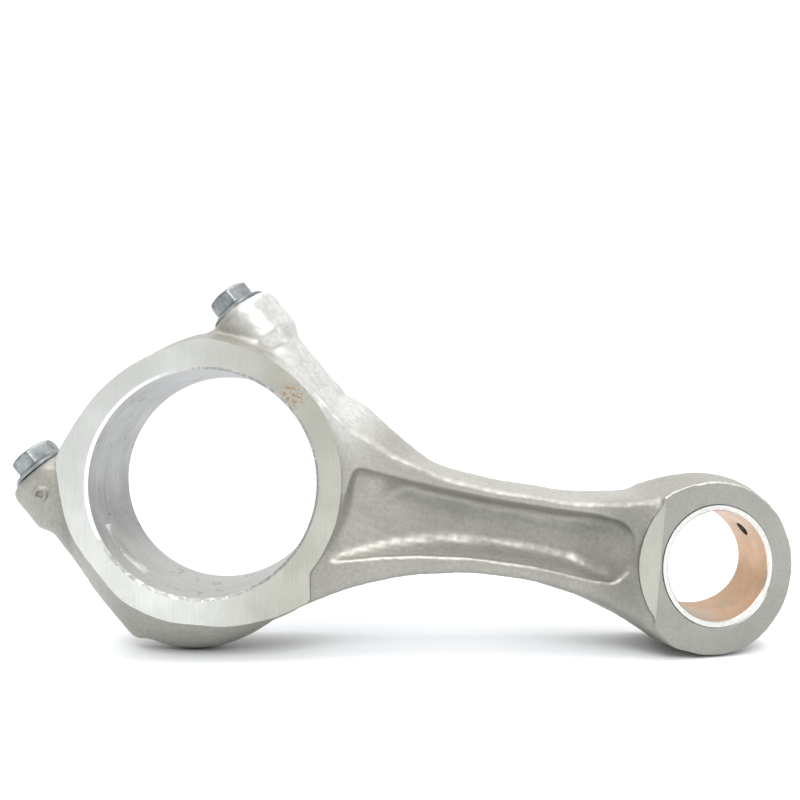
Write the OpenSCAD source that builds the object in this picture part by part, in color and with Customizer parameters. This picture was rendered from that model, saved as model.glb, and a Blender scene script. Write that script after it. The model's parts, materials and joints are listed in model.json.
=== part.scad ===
// Connecting rod with an angled-split big end, two cap bolts and a tapered small end with a bimetal bush.
// Origin: centre of the big end bore, half way through the width. +Y runs along the bore, +Z is up.
// The rod stands on its lower edge, so its long axis drops from the big end (-X side) to the small end (+X side).

/* [Rod] */
// Distance between the big end bore axis and the small end bore axis
rod_length = 169.5; // [160:0.5:180]
// Width of the big end and of the small end where it is widest, along the bores
end_width = 38; // [36:0.5:40]

/* [Big end] */
// Diameter of the big end housing bore, without bearing shells
big_bore_d = 73; // [72:0.1:74]
// Edge chamfer at both ends of the big end bore
bore_chamfer = 1.1; // [0.6:0.1:1.4]
// Angle between the split plane and the rod axis
split_angle = 48.7; // [45:0.1:50]
// Radius of the machined big end face round the bore
face_r = 44; // [43.5:0.1:45]
// Radius of the rounded lower lobe that the big end stands on
lobe_r = 40; // [38:0.5:41]

/* [Cap and bolts] */
// Distance of each bolt axis from the big end bore axis
bolt_offset = 43; // [42.8:0.1:43.5]
// Height of the bolt seats above the split plane
seat_height = 39.6; // [38:0.1:41]
// Diameter of the bolt shank and thread
bolt_d = 11; // [10:0.5:11]
// Length of a bolt under its head
bolt_length = 60; // [56:1:62]
// Width across the flats of a bolt head
hex_af = 14; // [13:0.5:15]
// Height of a bolt head with its flange
head_height = 7.8; // [7:0.1:9]
// Diameter of the flange under a bolt head
flange_d = 20.5; // [19:0.5:22]

/* [Shank] */
// Thickness of the shank flanges, along the bores
shank_t = 35.6; // [34:0.1:36]
// Thickness of the web between the two pockets
web_t = 9; // [7:0.5:12]
// Half the height of the shank at its waist, at the flange faces
waist_h = 13.5; // [13:0.1:14.5]
// Width of each flange at the waist
flange_w = 4.3; // [3.5:0.1:5]

/* [Small end] */
// Diameter of the wrist pin bore in the bush
pin_d = 36; // [35:0.1:37]
// Outer diameter of the bush and of its housing bore
bush_od = 39.6; // [39.2:0.1:40.4]
// Thickness of the bronze lining inside the steel back of the bush
lining_t = 0.8; // [0.5:0.1:1.1]
// Largest radius of the eye, half way through its width
eye_r = 29.7; // [29:0.1:31]
// Distance from the small end bore axis back to the start of the wedge faces
taper_start = 20.8; // [19:0.1:22]
// Slope of each wedge face
taper_angle = 12.5; // [10:0.5:14]
// Lean of the line where the wedge faces start
taper_lean = 3.5; // [0:0.5:5]
// Diameter of the oil hole
oil_hole_d = 5; // [4:0.5:6]
// Direction of the oil hole, up from the rod axis
oil_hole_angle = 44; // [40:1:50]

/* [Hidden] */
$fn = 96;
hull_fn = 32;

forged = "#a3a39c";
bolt_grey = "#5d6468";
bush_steel = "#c9cac8";
bronze = "#c08a5e";

half_w = end_width / 2;
big_bore_r = big_bore_d / 2;
bolt_r = bolt_d / 2;

// The lower lobe of the big end, in rod coordinates, and the angle at which the rod stands on it and on the eye.
lobe_x = -3;
lobe_z = -17.8;
lobe_to_eye = norm([rod_length - lobe_x, lobe_z]);
stand_angle = atan2(-lobe_z, rod_length - lobe_x) + asin((lobe_r - eye_r) / lobe_to_eye);

// Cap
crown_face = 42.4;
crown_mid = 47.6;
side_face = 42.8;
side_mid = 49;
cap_face_r = 46.9;
cap_mid_r = 51;
boss_r = 11.4;
pad_r = 15.1;

// Bolt holes and bolts
hole_r = bolt_r + 0.3;
thread_hole_r = bolt_r + 0.1;
waist_r = bolt_r - 0.7;
collar_len = 8;
thread_len = 15;
hole_end = bolt_length - seat_height + 2;
drill_tip = 3;
seat_cut_r = flange_d / 2 + 9;

// Shank: each flank is an arc in rod coordinates, and the draft makes the shank lower at its faces than in the middle.
waist_mid = -0.4;
draft = 2.6 / (shank_t / 2);
lower_flank_r = 119;
lower_flank_x = 103.6;
upper_flank_r1 = 125;
upper_flank_x1 = 97;
upper_flank_r2 = 110;
upper_flank_x2 = 113;
lower_edge_r = 200;
upper_edge_r = 350;
pocket_draft = 0.13;
pocket_x0 = 40;
pocket_x1 = rod_length - 28.2;
ramp_x0 = 78;
ramp_r = 64;
end_ramp_x = pocket_x1 - 12;
end_ramp_r = 15;

// Small end
bush_r = bush_od / 2;
pin_r = pin_d / 2;
eye_face_r = eye_r - 5.3;
foot_r = 26.6;
foot_face_r = foot_r - 1.4;
spotface_r = 27.6;
oil_hole_r = oil_hole_d / 2;

// Tang notch in the big end bore: a disc cutter sunk across the split line
notch_depth = 2;
notch_cutter_r = 18.7;
notch_y0 = -10.5;
notch_y1 = -5;

// From rod coordinates (X along the rod, Y along the bores) to the standing part.
module stand() {
    rotate([0, stand_angle, 0]) children();
}

// From split coordinates (X along the split plane, Z towards the cap) to rod coordinates.
module split_frame() {
    rotate([0, -split_angle, 0]) children();
}

// A flat outline in (X, Z), given a thickness along Y.
module plate(t) {
    rotate([90, 0, 0]) linear_extrude(height = t, center = true) children();
}

// A cylinder along Y.
module disc(r, t) {
    rotate([90, 0, 0]) cylinder(r = r, h = t, center = true);
}

// A barrel along Y: widest half way, rounding in to the faces.
function bulge(r_mid, r_face, s) = r_face + (r_mid - r_face) * (1 - s * s);
barrel_steps = [-1, -0.75, -0.5, -0.2, 0.2, 0.5, 0.75, 1];

module barrel(r_mid, r_face, half) {
    profile = [for (s = barrel_steps) [bulge(r_mid, r_face, s), s * half]];
    rotate([90, 0, 0]) rotate_extrude() polygon(concat([[0, -half]], profile, [[0, half]]));
}

// A double cone along Y: drafted from a flat band half way to a different radius at the faces.
module double_cone(r_mid, r_face, half, band) {
    profile = [[0, -half], [r_face, -half], [r_mid, -band], [r_mid, band], [r_face, half], [0, half]];
    rotate([90, 0, 0]) rotate_extrude($fn = 144) polygon(profile);
}

// A slab whose edge at +Z is drafted: high at mid thickness, lower at both faces.
module drafted_slab(z_mid, z_face, half, span) {
    profile = [[-half, -span], [half, -span], [half, z_face], [0.25 * half, z_mid], [-0.25 * half, z_mid], [-half, z_face]];
    rotate([90, 0, 90]) linear_extrude(height = 2 * span, center = true) polygon(profile);
}

// The cap side of the split plane, as far as the big end reaches, in split coordinates.
module cap_side() {
    translate([-80, -50, 0]) cube([160, 100, 100]);
}

// The big end housing bore with its two chamfers.
module big_bore() {
    disc(big_bore_r, end_width + 2);
    for (s = [-1, 1])
        translate([0, s * (half_w - bore_chamfer), 0]) rotate([-90 * s, 0, 0])
            cylinder(r1 = big_bore_r, r2 = big_bore_r + 2 * bore_chamfer, h = 2 * bore_chamfer);
}

// The notch for the tangs of the bearing shells, in split coordinates.
module tang_notch() {
    notch_x = -(big_bore_r + notch_depth - notch_cutter_r);
    translate([notch_x, (notch_y0 + notch_y1) / 2, 0]) disc(notch_cutter_r, notch_y1 - notch_y0);
}

// One cap ear along its bolt axis: a boss that swells into the round pad under the bolt head.
module cap_ear() {
    profile = [
        [0, 0], [boss_r, 0], [boss_r - 0.2, seat_height - 20], [boss_r + 0.7, seat_height - 15],
        [pad_r - 1.2, seat_height - 11], [pad_r, seat_height - 6.5], [pad_r - 0.5, seat_height - 3],
        [pad_r - 2, seat_height], [0, seat_height]
    ];
    rotate_extrude() polygon(profile);
}

// The clearance hole and the spot-faced seat in one cap ear.
module cap_bolt_hole() {
    translate([0, 0, -1]) cylinder(r = hole_r, h = seat_height + 2);
    translate([0, 0, seat_height]) cylinder(r = seat_cut_r, h = 20);
}

module cap_forging() {
    intersection() {
        barrel(cap_mid_r, cap_face_r, half_w);
        drafted_slab(crown_mid, crown_face, half_w, 60);
        rotate([0, 90, 0]) drafted_slab(side_mid, side_face, half_w, 60);
        rotate([0, -90, 0]) drafted_slab(side_mid, side_face, half_w, 60);
    }
    for (s = [-1, 1]) {
        translate([s * bolt_offset, 0, 0]) cap_ear();
        hull() {
            translate([s * bolt_offset, 0, 0]) cylinder(r = boss_r - 0.5, h = seat_height - 8, $fn = hull_fn);
            translate([s * 33, 0, 0]) cylinder(r = 15, h = 29, $fn = hull_fn);
        }
    }
}

// Cap: the removable upper-left part of the big end.
module bearing_cap() {
    color(forged) stand() split_frame() difference() {
        intersection() {
            cap_forging();
            cap_side();
        }
        big_bore();
        tang_notch();
        for (s = [-1, 1])
            translate([s * bolt_offset, 0, 0]) cap_bolt_hole();
    }
}

// One blind threaded hole, along its bolt axis, downwards from the split plane.
module thread_hole() {
    translate([0, 0, -hole_end]) cylinder(r = thread_hole_r, h = hole_end + 1);
    translate([0, 0, -hole_end - drill_tip]) cylinder(r1 = 0, r2 = thread_hole_r, h = drill_tip);
}

// A double cone along Y, with radius r at the shank faces, that cuts a concave, drafted flank.
module flank_cut(r) {
    half = shank_t / 2;
    over = 5;
    double_cone(r - draft * half, r + draft * over, half + over, 1);
}

module lower_flank_cut() {
    translate([lower_flank_x, 0, waist_mid - waist_h - lower_flank_r]) flank_cut(lower_flank_r);
}

module upper_flank_cut() {
    translate([upper_flank_x1, 0, waist_mid + waist_h + upper_flank_r1]) flank_cut(upper_flank_r1);
    translate([upper_flank_x2, 0, waist_mid + waist_h + upper_flank_r2]) flank_cut(upper_flank_r2);
    low = waist_mid + waist_h + draft * shank_t / 2;
    side = [[0, low], [30, low - draft * 30], [30, 90], [-30, 90], [-30, low - draft * 30]];
    translate([upper_flank_x1, 0, 0]) rotate([90, 0, 90])
        linear_extrude(height = upper_flank_x2 - upper_flank_x1) polygon(side);
}

// How far the pocket floor lies from mid thickness: it ramps up towards the big end and, steeply, towards the eye.
function floor_y(x) = web_t / 2
    + (x < ramp_x0 ? ramp_r - sqrt(ramp_r * ramp_r - pow(ramp_x0 - x, 2)) : 0)
    + (x > end_ramp_x ? end_ramp_r - sqrt(end_ramp_r * end_ramp_r - pow(x - end_ramp_x, 2)) : 0);

// One pocket: open at its flange face, with sloping walls that follow the flanks.
module pocket(s) {
    depth = (shank_t - web_t) / 2;
    stations = concat([for (i = [0:6]) pocket_x0 + i * (ramp_x0 - pocket_x0) / 6],
        [for (i = [0:4]) end_ramp_x + i * (pocket_x1 - end_ramp_x) / 4]);
    floor_line = [for (x = stations) [x, s * floor_y(x)]];
    difference() {
        intersection() {
            linear_extrude(height = 60, center = true)
                polygon(concat(floor_line, [[pocket_x1, s * 25], [pocket_x0, s * 25]]));
            plate(60) union() {
                polygon([[38, -24], [pocket_x1 - 8, -24], [pocket_x1 - 8, 12], [50, 13], [47, 10.5], [43, 0]]);
                translate([pocket_x1 - 8, 0.6]) circle(r = 8);
                translate([pocket_x1 - 8, -3.2]) circle(r = 8);
            }
        }
        pocket_wall(s, lower_edge_r, lower_flank_x, waist_mid - waist_h + flange_w - lower_edge_r, depth);
        pocket_wall(s, upper_edge_r, upper_flank_x2, waist_mid + waist_h - flange_w + upper_edge_r, depth);
        disc(face_r + 0.2, 60);
    }
}

// The wall between a pocket and one flank: wider at the pocket floor than at the face.
module pocket_wall(s, r, x, z, depth) {
    translate([x, s * web_t / 2, z]) rotate([-90 * s, 0, 0])
        cylinder(r1 = r + pocket_draft * depth, r2 = r, h = depth + 1, $fn = 192);
}

// The shank blank reaches from the big end to the eye; the flank cuts give it its waist.
module shank_blank() {
    outline = [[0, 0], [20, -52], [40, -50], [rod_length - 12, -40], [rod_length - 12, 36], [41, 40], [20, 38]];
    difference() {
        plate(shank_t) polygon(outline);
        lower_flank_cut();
        upper_flank_cut();
    }
}

// The tail of the machined big end face where it runs out into the lower flange.
module face_tail() {
    outline = [[0, 0], [9, -43.2], [14, -43.2], [26, -39.8], [34, -35.9], [41, -33], [38.6, -22]];
    difference() {
        plate(end_width) polygon(outline);
        lower_flank_cut();
    }
}

// The lower lobe between the bolt boss and the shank, and the lower bolt boss, in rod coordinates.
module lower_lobe() {
    hull() {
        translate([lobe_x, 0, lobe_z]) rotate([90, 0, 0]) cylinder(r = lobe_r, h = 8, center = true, $fn = 72);
        rotate([90, 0, 0]) cylinder(r = face_r - 0.6, h = end_width, center = true, $fn = 72);
        split_frame() translate([-bolt_offset, 0, -25]) cylinder(r = boss_r, h = 25, $fn = hull_fn);
    }
}

// The upper bolt boss, which runs on into the top of the shank, in split coordinates.
module upper_boss() {
    translate([bolt_offset, 0, -26]) cylinder(r = boss_r, h = 26);
    hull() {
        translate([bolt_offset, 0, -31]) cylinder(r = boss_r - 0.5, h = 31, $fn = hull_fn);
        translate([bolt_offset + 3.5, 0, -30]) cylinder(r = boss_r - 2.5, h = 16, $fn = hull_fn);
        translate([30, 0, -24]) cylinder(r = 13.5, h = 24, $fn = hull_fn);
    }
}

// The eye of the small end, before its bore: a drafted round boss with a heavier foot, and a full width spot face.
module eye() {
    translate([rod_length, 0, 0]) {
        double_cone(eye_r, eye_face_r, half_w, 2);
        translate([-1.5, 0, foot_r - eye_r]) double_cone(foot_r - 0.1, foot_face_r, half_w, 3);
        intersection() {
            disc(spotface_r, end_width);
            translate([-60, -50, -50]) cube([60, 100, 100]);
        }
    }
}

// What the two wedge faces cut away. The line where they start leans a little.
module wedge_cut() {
    for (s = [-1, 1])
        translate([rod_length - taper_start, s * half_w, 0]) rotate([0, -taper_lean, 0]) rotate([0, 0, -s * taper_angle])
            translate([0, s > 0 ? 0 : -60, -60]) cube([120, 60, 120]);
}

// The oil hole through the eye and the bush, in rod coordinates.
module oil_hole() {
    translate([rod_length, 0, 0]) rotate([0, 90 - oil_hole_angle, 0]) cylinder(r = oil_hole_r, h = 60);
}

module rod_forging() {
    barrel(big_bore_r + 12.5, face_r, half_w);
    lower_lobe();
    face_tail();
    split_frame() upper_boss();
    shank_blank();
    eye();
}

// Rod: shank, lower part of the big end, and small end eye, forged in one piece.
module rod_body() {
    color(forged) stand() difference() {
        rod_forging();
        split_frame() {
            cap_side();
            big_bore();
            tang_notch();
            for (s = [-1, 1])
                translate([s * bolt_offset, 0, 0]) thread_hole();
        }
        for (s = [-1, 1])
            pocket(s);
        wedge_cut();
        translate([rod_length, 0, 0]) disc(bush_r, end_width + 2);
        oil_hole();
    }
}

// One bolt, along its own axis, with its head seat at Z = 0 and its head upwards.
module cap_bolt() {
    hex_r = hex_af / sqrt(3);
    flange_t = 2;
    thread_top = -bolt_length + thread_len;
    collar_low = -seat_height - collar_len / 2;
    collar_top = -seat_height + collar_len / 2;
    profile = [
        [0, -bolt_length], [bolt_r - 1, -bolt_length], [bolt_r, -bolt_length + 1],
        [bolt_r, thread_top - 0.6], [waist_r, thread_top], [waist_r, collar_low - 0.6], [bolt_r, collar_low],
        [bolt_r, collar_top], [waist_r, collar_top + 0.6], [waist_r, -5.5], [bolt_r, -4.5], [bolt_r, 0],
        [flange_d / 2, 0], [flange_d / 2, 0.9], [hex_af / 2 + 0.3, flange_t + 0.6], [0, flange_t + 0.6]
    ];
    rotate_extrude() polygon(profile);
    intersection() {
        cylinder(r = hex_r, h = head_height, $fn = 6);
        cylinder(r1 = hex_r + head_height - 1.1, r2 = hex_af / 2 - 0.4, h = head_height);
    }
}

module place_bolt(side) {
    stand() split_frame() translate([side * bolt_offset, 0, seat_height]) children();
}

// Bolt in the ear above the shank.
module cap_bolt_upper() {
    color(bolt_grey) place_bolt(1) cap_bolt();
}

// Bolt in the ear at the far end of the big end.
module cap_bolt_lower() {
    color(bolt_grey) place_bolt(-1) cap_bolt();
}

// A sleeve in the small end, cut by the same wedge faces as the eye.
module bush_sleeve(r_out, r_in) {
    difference() {
        translate([rod_length, 0, 0]) disc(r_out, end_width);
        translate([rod_length, 0, 0]) disc(r_in, end_width + 2);
        wedge_cut();
        oil_hole();
    }
}

// Steel back of the bush, pressed into the eye.
module bush_back() {
    color(bush_steel) stand() bush_sleeve(bush_r, pin_r + lining_t);
}

// Bronze lining of the bush, which carries the wrist pin.
module bush_lining() {
    color(bronze) stand() bush_sleeve(pin_r + lining_t, pin_r);
}

rod_body();
bearing_cap();
cap_bolt_upper();
cap_bolt_lower();
bush_back();
bush_lining();
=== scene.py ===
"""Looks for the connecting rod: forged rod and cap, two bolts and the small end bush, on a pale table.

The forgings are implicit solids, meshed on a grid and then machined with boolean cutters, as the real
part is. Shapes are written in millimetres in rod coordinates: X from the big end bore axis to the small end
bore axis, Y along the bores. Split coordinates (u, n) lie in the plane of X and Z: u along the split plane,
n up towards the cap. The last step of each piece is the move to the row frame, in metres, with the rod as
it stands.
"""

import json
import math

import bmesh
import bpy
import numpy as np
from mathutils import Matrix, Vector


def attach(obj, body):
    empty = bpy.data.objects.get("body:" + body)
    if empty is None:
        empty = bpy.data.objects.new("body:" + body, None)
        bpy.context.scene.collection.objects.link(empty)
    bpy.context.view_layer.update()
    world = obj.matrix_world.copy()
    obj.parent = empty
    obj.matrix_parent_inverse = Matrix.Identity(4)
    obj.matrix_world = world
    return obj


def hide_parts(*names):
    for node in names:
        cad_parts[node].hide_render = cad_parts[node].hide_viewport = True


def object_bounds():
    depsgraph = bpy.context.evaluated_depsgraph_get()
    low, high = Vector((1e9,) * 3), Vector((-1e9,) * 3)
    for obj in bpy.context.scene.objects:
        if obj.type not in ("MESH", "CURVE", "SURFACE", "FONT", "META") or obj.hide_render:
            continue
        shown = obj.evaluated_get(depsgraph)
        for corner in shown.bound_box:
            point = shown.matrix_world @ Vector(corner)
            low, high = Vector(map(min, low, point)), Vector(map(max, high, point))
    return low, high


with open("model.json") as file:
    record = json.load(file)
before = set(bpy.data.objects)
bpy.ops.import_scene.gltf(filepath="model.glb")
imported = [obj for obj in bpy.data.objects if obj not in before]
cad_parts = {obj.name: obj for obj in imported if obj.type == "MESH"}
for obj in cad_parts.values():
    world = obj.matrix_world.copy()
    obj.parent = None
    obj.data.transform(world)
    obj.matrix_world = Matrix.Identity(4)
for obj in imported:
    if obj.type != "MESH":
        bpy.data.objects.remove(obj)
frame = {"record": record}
cad_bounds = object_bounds()

# ---------------------------------------------------------------- dimensions, mm and radians
SPLIT = math.radians(48.7)  # from the shank's axis to the split plane
JOINT_GAP = 0.012  # left on each side of the split plane
OVERLAP = 3  # of each forging past the split plane, which the cutters remove
HALF_W = 19.0  # half the width over the machined faces
STOCK = 20.5  # half the width of the forging that they are machined from
BORE_R = 36.5
BORE_CHAMFER = 0.9
FACE_R = 44.1  # the outline of the machined face round the big end bore
FLANK_U = 42.7  # where that outline is cut off straight, at the lower bolt
BOLT_U = 43.0  # from the bore axis to each bolt axis
SEAT_N = 39.6  # from the split plane up to the bolt seats
BOLT_R = 5.5
BOLT_LEN = 60.0  # under the head
HEX_AF = 14.0  # across flats
HEAD_H = 7.8
FLANGE_R = 10.25
CAP_HOLE_R = 5.8
THREAD_HOLE_R = 5.62
THREAD_PITCH = 1.25
HOLE_END = 22.4  # the depth of the threaded holes below the split plane
BUSH_R = 19.8
LINING_R = 18.8
PIN_R = 18.0
EYE_R = 29.6
TAPER_BACK = 20.8  # from the small end's axis back to the ridge where the wedge faces begin
TAPER_ANGLE = math.radians(12.5)  # of each wedge face
TAPER_LEAN = math.radians(3.5)  # of the ridge
OIL_ANGLE = math.radians(44)  # of the oil hole, up from the shank's axis
OIL_R = 2.5
SHANK_HALF = 17.8  # half the width over the flanges of the shank
WEB_HALF = 4.5  # half the thickness of the web at the bottom of the pockets
LOWER_NECK = (-40, -14, -24)  # under the lower ear, where shade is painted on the forging

CELL = 0.7  # of the grid that the forgings are meshed on
RELAX_ROUNDS = 3
SHARP_ANGLE = 32.0  # degrees, over which an edge is shaded sharp
BOLT_SHARP_ANGLE = 38

# The rod lies from the origin to the small end bore, which the record gives.
mounts = {m["name"]: m for m in frame["record"]["mounts"]}
small_end = Vector(mounts["small_end_bore"]["pos_m"])
EYE_X = small_end.length * 1000
STAND = math.atan2(-small_end.z, small_end.x)
TO_ROW = Matrix.Rotation(STAND, 4, "Y") @ Matrix.Scale(0.001, 4)
TO_SPLIT = Matrix.Rotation(-SPLIT, 4, "Y")
TAPER_X = EYE_X - TAPER_BACK


# ---------------------------------------------------------------- implicit solids
def smin(a, b, k):
    """The lesser of two fields, blended over a width k. smax is the greater."""
    h = np.maximum(k - np.abs(a - b), 0.0)
    return np.minimum(a, b) - h * h / (4 * k)


def smax(a, b, k):
    return -smin(-a, -b, k)


def disc(a, b, centre_a, centre_b, radius):
    """A disc in the plane of a and b: the distance outside it, negative inside."""
    return np.hypot(a - centre_a, b - centre_b) - radius


def step(a, b, x):
    """0 at a to 1 at b, smoothly."""
    t = np.clip((x - a) / (b - a), 0.0, 1.0)
    return t * t * (3 - 2 * t)


def split_uv(x, z):
    """A point of the rod's plane in split coordinates."""
    c, s = math.cos(SPLIT), math.sin(SPLIT)
    return x * c + z * s, z * c - x * s


def unevenness(x, y, z):
    """The slight waves of a hand-dressed forging."""
    a = np.sin(0.31 * x + 1.3 * np.sin(0.17 * z + 0.8)) * np.sin(0.27 * z + 0.9 * np.sin(0.23 * y + 0.4))
    b = np.sin(0.83 * x + 1.1 * z + 2 * np.sin(0.5 * y)) * np.sin(0.71 * z - 0.65 * x + 0.9 * y)
    return 0.10 * a + 0.05 * b


def ring_field(x, y, z):
    """The ring of the big end on the rod side, drafted from the middle in to the faces."""
    draft = 1 - (np.abs(y) / HALF_W) ** 1.7
    u, _ = split_uv(x, z)
    return smax(disc(x, z, 0, 0, FACE_R) - 5.1 * draft, -u - FLANK_U - 4.2 * draft, 1.0)


def ridge_x(z):
    """Where the wedge faces of the small end begin."""
    return TAPER_X - z * math.tan(TAPER_LEAN)


def half_width(x, z):
    """Half the width of the small end, which narrows to the right of the ridge."""
    return HALF_W - np.maximum(x - ridge_x(z), 0) * math.cos(TAPER_LEAN) * math.tan(TAPER_ANGLE)


def forged_half(x, z):
    """Half the forged width: the shank's left of the ridge, stock for the wedge faces right of it."""
    ridge = ridge_x(z)
    return SHANK_HALF + (STOCK - SHANK_HALF) * step(ridge - 1.0, ridge + 0.6, x)


def tail_field(x, z):
    """Where the machined face of the ring runs out into the lower flange of the shank."""
    d = disc(x, z, 4.5, 10.6, 54.9)
    d = smax(d, (x - 38.6 + 0.17 * (z + 22.2)) * 0.986, 1.0)
    return np.maximum(d, -x)


def lobe_field(x, y, z):
    """The lobe under the ring, which the big end stands on."""
    draft = np.clip(1 - (np.abs(y) / HALF_W) ** 1.6, 0, 1)
    u, _ = split_uv(x, z)
    d = disc(x, z, -3 * draft, -17.8 * draft, FACE_R - 4.3 * draft)
    return smax(d, -u - FLANK_U - 10.8 * draft, 1.5)


def shank_field(x, y, z):
    """The shank before its pockets are sunk."""
    # The upper edge is hollow, with a radius of 125 left of x 97 and of 100 right of x 113.
    cx = np.clip(x, 97, 113)
    r = 125 - 25 * (cx - 97) / 16
    top = -disc(x, z - 13, cx, r, r)
    bottom = -disc(x, z, 103.6, -132.8, 118.9)
    draft = 2.6 * (1 - np.abs(y) / SHANK_HALF)
    d = smax(top, bottom, 1.0) - draft
    d = smax(d, 27 - x, 8)
    d = smax(d, x - EYE_X + 9.5 + 5 * step(0, 12, z), 5.0)
    return smax(d, np.abs(y) - SHANK_HALF, 3.0)


def pocket_field(x, y, z):
    """The pocket in one side of the shank, negative where it is open."""
    top = -disc(x, z, 104.1, 540.1, 530)
    bottom = -disc(x, z, 104, -209.5, 200)
    left = (44 + (z - 1.5) * 0.29 - x) * 0.96
    # The right end is round, with a narrower tongue that runs on into the eye.
    end_x = 131.3
    right = disc(np.maximum(x - end_x, 0), z, 0, -0.5, 10.7) - 0.35 * np.maximum(end_x - x, 0)
    right = smin(right, np.maximum(np.abs(z + 1) - 6.0, x - 147), 2.0)
    d = smax(top, bottom, 2.0)
    d = smax(d, right, 2.0)
    d = smax(d, left, 2.5)
    depth = SHANK_HALF - np.abs(y)
    d = d + 0.17 * depth
    # The floor rises towards both ends, and its fillet is larger low down.
    ramp = smax(12.8 * (73 - x - 0.9 * z) / 50, 0 * x, 9.0)
    lift = 11.5 * step(122, 143, x)
    floor = WEB_HALF + ramp + lift - np.abs(y)
    fillet = 3.0 + 2.6 * step(4, -6, z) * step(45, 75, x)
    return smax(d, floor, fillet)


def eye_field(x, y, z):
    """The eye: a drafted boss that follows the wedge faces, with a heavier foot."""
    half = half_width(x, z)
    draft = (np.abs(y) / half) ** 1.4
    main = disc(x, z, EYE_X, 0, EYE_R - 2.2 * draft)
    foot = disc(x - EYE_X, z, -0.3, -2.4, 27.3 - 0.7 * draft)
    d = smin(main, foot, 2.0)
    return smax(d, (np.abs(y) - half) * math.cos(TAPER_ANGLE) - 0.35, 1.6)


def pad_field(x, y, z):
    """The raised round pad on each side of the eye, left of the wedge."""
    d = smax(disc(x, z, EYE_X, 0, 27.6), x - ridge_x(z) - 1.5, 0.5)
    return smax(smax(d, np.abs(y) - STOCK, 0.3), 14 - np.abs(y), 0.5)


def upper_boss_field(u, y, n):
    """The boss of the upper bolt, which widens downwards and ends in the shank."""
    drop = np.maximum(-n, 0)
    axis = BOLT_U + 0.045 * drop
    r = 10.0 + 2.6 * step(5.5, 16, drop) - 0.6 * np.exp(-(((n + 5.5) / 2) ** 2))
    d = disc(u, y, axis, 0, r)
    d = smax(d, -n - 41, 9)
    return smax(d, n - OVERLAP, 0.5)


def lower_boss_field(u, y, n):
    """The boss of the lower bolt, which ends just past the threaded hole."""
    d = disc(u, y, -BOLT_U, 0, 10.6)
    return smax(smax(d, -n - 25.4, 3.0), n - OVERLAP, 0.5)


def rod_field(x, y, z):
    """The whole forging of the rod."""
    u, n = split_uv(x, z)
    shank = smax(shank_field(x, y, z), -pocket_field(x, y, z), 1.3)
    shank = smin(shank, eye_field(x, y, z), 3.5 + 1.5 * step(4, 14, z))
    ring = ring_field(x, y, z)
    lobe = smin(ring, lobe_field(x, y, z), 2)
    big = smin(lobe, upper_boss_field(u, y, n), 3)
    big = smin(big, lower_boss_field(u, y, n), 4)
    reach = 4.0 + 5.0 * step(10, 24, z)
    d = smin(big, shank, reach)
    d = smax(d, np.abs(y) - forged_half(x, z), 1.4)
    d = smin(d, smin(lobe, tail_field(x, z), 0.5), 0.8)
    d = smin(d, pad_field(x, y, z), 0.6 + 2.0 * step(10, 20, z))
    d = smax(d, n - OVERLAP, 0.5)
    return smax(d, np.abs(y) - STOCK, 0.5) + unevenness(x, y, z)


def ear_field(u, y, n):
    """A cap ear: a boss that swells into the round pad under the bolt head."""
    swell = step(19.5, 26, n)
    upper = disc(u, y, BOLT_U, 0, 10.0 + 2.4 * swell)
    lower = disc(u, y * (1 + 0.22 * swell), -BOLT_U, 0, 10.6 + 2.6 * swell)
    d = np.where(u > 0, upper, lower)
    return smax(smax(d, n - SEAT_N - 0.3, 4.0), -n - OVERLAP, 0.5)


def cap_field(x, y, z):
    """The whole forging of the cap, with the raised ring on its lower ear."""
    u, n = split_uv(x, z)
    side = np.where(u > 0, disc(u, n, -7.9, 0, 52), disc(u, n, 17.3, 0, 60))
    crown = disc(u, n, 0, -25.6, 68.7)
    d = smax(side, crown, 1.5)
    d = d - 4.2 * (1 - (np.abs(y) / HALF_W) ** 1.7)
    d = smin(d, lobe_field(x, y, z), 2.0)
    d = smin(d, ear_field(u, y, n), 3.0)
    mark = disc(disc(u, n, -45.2, 31.8, 1.8), y, 0, -10.9, 0.8)
    d = smin(d, mark, 0.5)
    d = smax(d, -n - OVERLAP, 0.5)
    return smax(d, np.abs(y) - STOCK, 0.5) + unevenness(x, y, z)


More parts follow.
